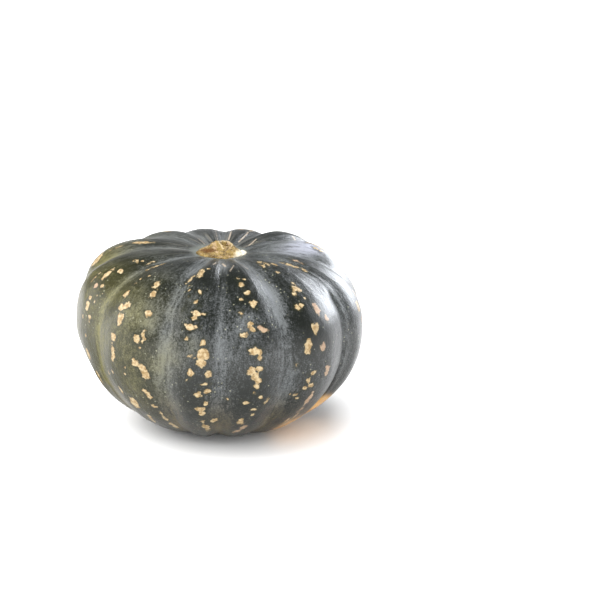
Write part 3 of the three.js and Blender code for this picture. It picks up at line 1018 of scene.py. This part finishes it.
# painted shade: the low side wall of the stub turns a darker brown toward its seat
low_edge_shade = t.stretch(t.plus_part(height_share, lumps, 0.3), 0.75, 0.35)
colour = t.lay(colour, LOW_EDGE_SHADE_BROWN, low_edge_shade, strength=0.85)
stain = t.stretch(t.plus_part(t.attribute("stain"), lumps, 0.7), 0.55, 1.15)
colour = t.lay(colour, STAIN_BROWN, stain, strength=0.85)
blotch = t.stretch(t.noise(where, CORK_BLOTCHES, detail=3, rough=0.6), 0.52, 0.6)
colour = t.lay(colour, BLOTCH_TAN, t.times(blotch, t.stretch(height_share, 0.6, 0.95)), strength=0.5)
rim = t.stretch(t.plus_part(t.attribute("pale_rim"), crumbs, 0.8), 0.85, 1.5)
colour = t.lay(colour, RIM_CREAM, rim, strength=0.7)
colour = t.lay(colour, HOLLOW_BROWN, t.stretch(t.attribute("in_hollow"), 0.3, 0.7), strength=0.85)
tip = t.stretch(t.plus_part(t.attribute("pale_tip"), lumps, 1.2), 0.8, 1.5)
colour = t.lay(colour, TIP_WHITE, tip, strength=0.95)
height = t.plus_part(lumps, crumbs, 0.4)
bump = t.add("ShaderNodeBump", {"Height": height, "Strength": 0.55, "Distance": CORK_BUMP_M})
t.surface({"Base Color": colour, "Roughness": 0.85, "Normal": bump.outputs[0], "Specular IOR Level": 0.3})
stub.data.materials.append(cork_material)
print("cork steps", len(cork_material.node_tree.nodes))

# %% [markdown]
# The setting is a plain white studio. One wide white floor runs past the edges of the picture, so no edge of
# it shows, and it takes the soft shadow of the squash.

# %% The floor
FLOOR_SIDE = 12
FLOOR_WHITE = (0.92, 0.92, 0.92, 1)
FLOOR_ROUGHNESS = 0.6

floor_shape = bmesh.new()
bmesh.ops.create_grid(floor_shape, x_segments=1, y_segments=1, size=FLOOR_SIDE / 2)
floor_mesh = bpy.data.meshes.new("studio_floor")
floor_shape.to_mesh(floor_mesh)
floor_shape.free()
floor = bpy.data.objects.new("studio_floor", floor_mesh)
bpy.context.collection.objects.link(floor)

white = new_material("studio_white")
t = Tree(white.node_tree)
t.surface({"Base Color": FLOOR_WHITE, "Roughness": FLOOR_ROUGHNESS})
floor.data.materials.append(white)
print("floor side", FLOOR_SIDE, "m")

# %% [markdown]
# What the rind mirrors matters as much as what lights it. The surroundings are white near the horizon and
# dimmer overhead and behind, which keeps the crown of the fruit dark, and they are brighter at the right.

# %% The surroundings
SURROUNDINGS_WHITE = (0.97, 0.98, 1.0, 1)
TOWARD_RIGHT = (0.94, 0.34, 0)
AT_HORIZON = 0.85
OVERHEAD = 0.25
BEHIND_SHARE = 0.55
LEFT_SHARE = 0.7
RIGHT_SHARE = 1.05

world = bpy.data.worlds.new("studio")
bpy.context.scene.world = world
world.use_nodes = True
world.node_tree.nodes.clear()
t = Tree(world.node_tree)
direction = t.add("ShaderNodeTexCoord").outputs["Generated"]
axes = t.add("ShaderNodeSeparateXYZ", {0: direction})
aside = t.add("ShaderNodeVectorMath", {0: direction, 1: TOWARD_RIGHT}, operation="DOT_PRODUCT")
by_height = t.stretch(axes.outputs["Z"], 0.0, 0.6, to_low=AT_HORIZON, to_high=OVERHEAD)
by_depth = t.stretch(axes.outputs["Y"], 0.2, 0.95, to_low=1.0, to_high=BEHIND_SHARE)
by_side = t.stretch(aside.outputs["Value"], -0.9, 0.9, to_low=LEFT_SHARE, to_high=RIGHT_SHARE)
brightness = t.times(by_depth, t.times(by_height, by_side))
background = t.add("ShaderNodeBackground", {"Color": SURROUNDINGS_WHITE, "Strength": brightness})
t.add("ShaderNodeOutputWorld", {"Surface": background.outputs[0]})
print("surroundings steps", len(world.node_tree.nodes))

# %% [markdown]
# Two kinds of light are kept apart. The softboxes are there for the reflections alone: a large one stands to
# the right and behind, low enough for its broad reflection to run down the right flank of each rib, and a
# weak one stands at the left. The wide ceiling and the front fill do the lighting, and the rind doesn't
# mirror them, because the real studio's light is too even to be seen as a shape there.

# %% The softboxes
def softbox(name, place, aim, width, height, watts, tint, mirrored=True, lights=True):
    """A rectangle of light that may be seen in reflections only, or light things up only."""
    lamp = bpy.data.lights.new(name, "AREA")
    lamp.shape = "RECTANGLE"
    lamp.size = width
    lamp.size_y = height
    lamp.energy = watts
    lamp.color = tint
    holder = bpy.data.objects.new(name, lamp)
    holder.location = place
    holder.rotation_euler = (Vector(aim) - Vector(place)).to_track_quat("-Z", "Y").to_euler()
    holder.visible_glossy = mirrored
    holder.visible_diffuse = lights
    bpy.context.collection.objects.link(holder)


FRUIT_MIDDLE = (0, 0, 0.06)
WHITE = (1.0, 1.0, 1.0)
COOL_WHITE = (0.9, 0.94, 1.0)
softbox("right_softbox", (1.4, 1.24, 0.66), FRUIT_MIDDLE, width=1.85, height=1.0, watts=66,
        tint=COOL_WHITE, lights=False)
softbox("left_softbox", (-1.6, 0.1, 0.7), FRUIT_MIDDLE, width=1.5, height=1.1, watts=15,
        tint=WHITE, lights=False)
softbox("ceiling", (-2.6, -0.6, 3), (-2.6, -0.6, 0), width=7.5, height=7.5, watts=780,
        tint=WHITE, mirrored=False)
softbox("front_fill", (0.2, -2.8, 1.3), FRUIT_MIDDLE, width=3.4, height=2, watts=78,
        tint=WHITE, mirrored=False)

# %% [markdown]
# The camera looks down on the squash by 17 degrees from well over a metre away, and the squash stands left of
# the middle of a square picture. A long lens gives the flat, true outline of a studio picture.

# %% The camera
LOOK_DOWN_DEGREES = 17
CAMERA_PLACE = (0.0524, -1.1912, 0.4479)
LENS_MM = 113.9
SENSOR_MM = 36

lens = bpy.data.cameras.new("camera")
lens.sensor_width = SENSOR_MM
lens.lens = LENS_MM
camera = bpy.data.objects.new("camera", lens)
camera.location = CAMERA_PLACE
camera.rotation_euler = (math.radians(90 - LOOK_DOWN_DEGREES), 0, 0)
bpy.context.collection.objects.link(camera)
bpy.context.scene.camera = camera
bpy.context.scene.view_settings.view_transform = "Standard"
print("camera at", [round(v, 3) for v in camera.location])
